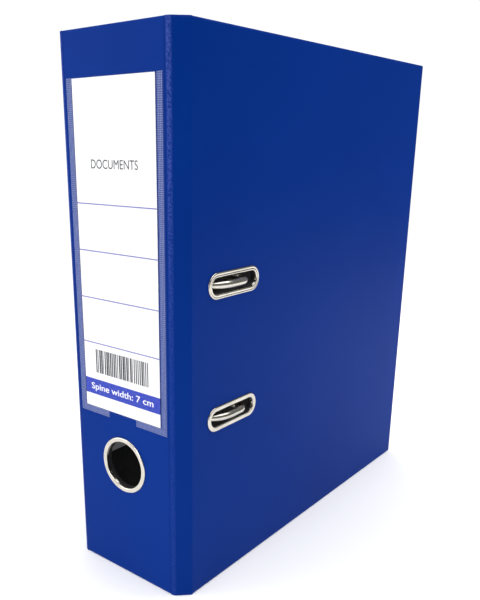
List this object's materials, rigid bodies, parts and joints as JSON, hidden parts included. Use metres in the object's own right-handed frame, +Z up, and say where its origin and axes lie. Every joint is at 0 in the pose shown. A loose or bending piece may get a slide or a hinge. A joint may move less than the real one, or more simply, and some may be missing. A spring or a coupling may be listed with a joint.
{
  "type": "lever arch file",
  "caption": "Standing ring binder file with a clear spine pocket, finger ring, slotted front cover, and a lever arch mechanism inside.",
  "frame": {"origin": "centre of the closed file's footprint, on the surface that it stands on", "axes": "+X through the thickness towards the slotted front cover, +Y from the spine to the fore edge, +Z up"},
  "size_m": [0.0888, 0.2499, 0.284],
  "materials": {
    "blue_foil": "fine grain, satin",
    "greyboard": "raw paper board",
    "dark_lining": "matt",
    "nickel": "bright nickel plate",
    "steel": "zinc plated sheet",
    "clear_film": "clear glossy film",
    "white_card": "uncoated card",
    "roller_nylon": "moulded nylon",
    "black_plastic": "moulded, satin"
  },
  "bodies": {
    "spine": {"spine_foil": "blue_foil", "spine_board": "greyboard", "spine_lining": "dark_lining", "front_hinge_strip": "blue_foil", "back_hinge_strip": "blue_foil", "finger_ring": "nickel", "finger_washer": "nickel", "label_pocket": "clear_film"},
    "label_card": {"label_card": "white_card"},
    "front_cover": {"front_foil": "blue_foil", "front_board": "greyboard", "front_lining": "dark_lining", "slot_eyelet_lower": "nickel", "slot_eyelet_upper": "nickel", "slot_washer_lower": "nickel", "slot_washer_upper": "nickel"},
    "back_cover": {"back_foil": "blue_foil", "back_board": "greyboard", "back_lining": "dark_lining", "base_plate": "steel", "paper_post_lower": "nickel", "paper_post_upper": "nickel", "axle_saddle_lower": "steel", "axle_saddle_upper": "steel", "leaf_spring": "steel", "lever_pin": "steel", "cover_rivets": "nickel", "small_rivets": "steel"},
    "arches": {"arch_yoke": "nickel"},
    "lever": {"lever": "nickel", "roller_axle": "steel"},
    "lever_roller": {"lever_roller": "roller_nylon"},
    "compressor": {"compressor_bar": "black_plastic"}
  },
  "joints": [
    {"name": "front_cover_hinge", "type": "hinge", "parent": "spine", "child": "front_cover", "pos_m": [0.0385, -0.121, 0], "axis": [0, 0, -1], "range_deg": [0, 180], "deforming": ["front_hinge_strip"]},
    {"name": "back_cover_hinge", "type": "hinge", "parent": "spine", "child": "back_cover", "pos_m": [-0.0385, -0.121, 0], "axis": [0, 0, 1], "range_deg": [0, 90], "deforming": ["back_hinge_strip"]},
    {"name": "arch_swing", "type": "hinge", "parent": "back_cover", "child": "arches", "pos_m": [-0.0351, -0.1045, 0.1311], "axis": [0, 0, -1], "range_deg": [0, 32]},
    {"name": "lever_pivot", "type": "hinge", "parent": "back_cover", "child": "lever", "pos_m": [-0.02259, -0.0915, 0.1311], "axis": [0, 0, 1], "range_deg": [0, 60]},
    {"name": "roller_spin", "type": "hinge", "parent": "lever", "child": "lever_roller", "pos_m": [-0.02952, -0.0955, 0.1311], "axis": [0, 0, 1], "continuous": true},
    {"name": "compressor_slide", "type": "slide", "parent": "back_cover", "child": "compressor", "axis": [1, 0, 0], "range_m": [0, 0.03]},
    {"name": "label_slide", "type": "slide", "parent": "spine", "child": "label_card", "axis": [0, 0, 1], "range_m": [0, 0.15]}
  ],
  "couplings": [
    {"joint": "arch_swing", "follows": "back_cover_hinge", "ratio": 0.35556},
    {"joint": "lever_pivot", "follows": "back_cover_hinge", "ratio": 0.66667}
  ]
}
